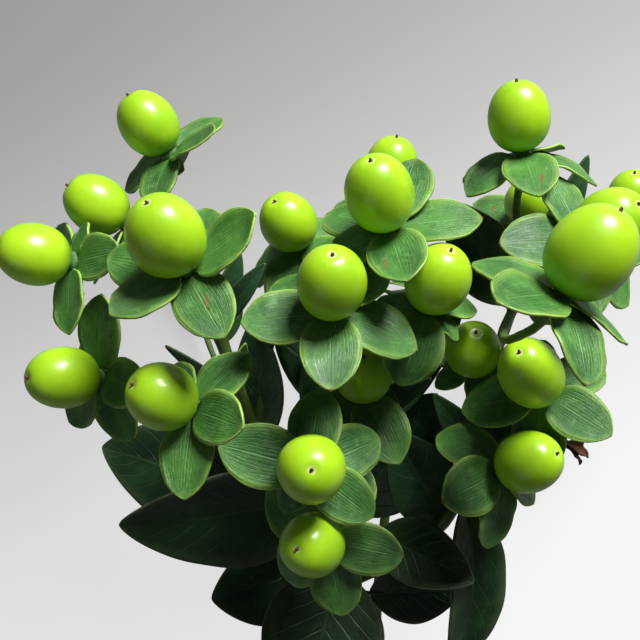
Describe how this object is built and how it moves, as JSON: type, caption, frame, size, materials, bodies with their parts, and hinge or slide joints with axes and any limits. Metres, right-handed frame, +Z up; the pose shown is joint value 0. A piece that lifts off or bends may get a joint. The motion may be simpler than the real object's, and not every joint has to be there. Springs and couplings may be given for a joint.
{
  "type": "hypericum berry stem",
  "caption": "Cut branched stem of green hypericum berries on leafy calyces, with dark leaves, lying on its back.",
  "frame": {"origin": "middle of the footprint on the surface that the stem lies on", "axes": "+Y along the stem from its cut end to the head, +Z up from the surface, the way the berries face, +X to the right seen from above"},
  "size_m": [0.1451, 0.2788, 0.1231],
  "materials": {
    "stem": "smooth green bark",
    "berry": "glossy skin",
    "calyx": "satin leaf",
    "leaf": "satin leaf"
  },
  "bodies": {
    "root": {"stem": "stem", "berry_01": "berry", "berry_02": "berry", "berry_03": "berry", "berry_04": "berry", "berry_05": "berry", "berry_06": "berry", "berry_07": "berry", "berry_08": "berry", "berry_09": "berry", "berry_10": "berry", "berry_11": "berry", "berry_12": "berry", "berry_13": "berry", "berry_14": "berry", "berry_15": "berry", "berry_16": "berry", "berry_17": "berry", "berry_18": "berry", "berry_19": "berry", "berry_20": "berry", "berry_21": "berry", "berry_22": "berry", "berry_23": "berry", "berry_24": "berry", "calyx_01": "calyx", "calyx_02": "calyx", "calyx_03": "calyx", "calyx_04": "calyx", "calyx_05": "calyx", "calyx_06": "calyx", "calyx_07": "calyx", "calyx_08": "calyx", "calyx_09": "calyx", "calyx_10": "calyx", "calyx_11": "calyx", "calyx_12": "calyx", "calyx_13": "calyx", "calyx_14": "calyx", "calyx_15": "calyx", "calyx_16": "calyx", "calyx_17": "calyx", "calyx_18": "calyx", "calyx_19": "calyx", "calyx_20": "calyx", "calyx_21": "calyx", "calyx_22": "calyx", "calyx_23": "calyx", "calyx_24": "calyx", "leaf_01": "leaf", "leaf_02": "leaf", "leaf_03": "leaf", "leaf_04": "leaf", "leaf_05": "leaf", "leaf_06": "leaf", "leaf_07": "leaf", "leaf_08": "leaf", "leaf_09": "leaf", "leaf_10": "leaf"}
  },
  "joints": []
}
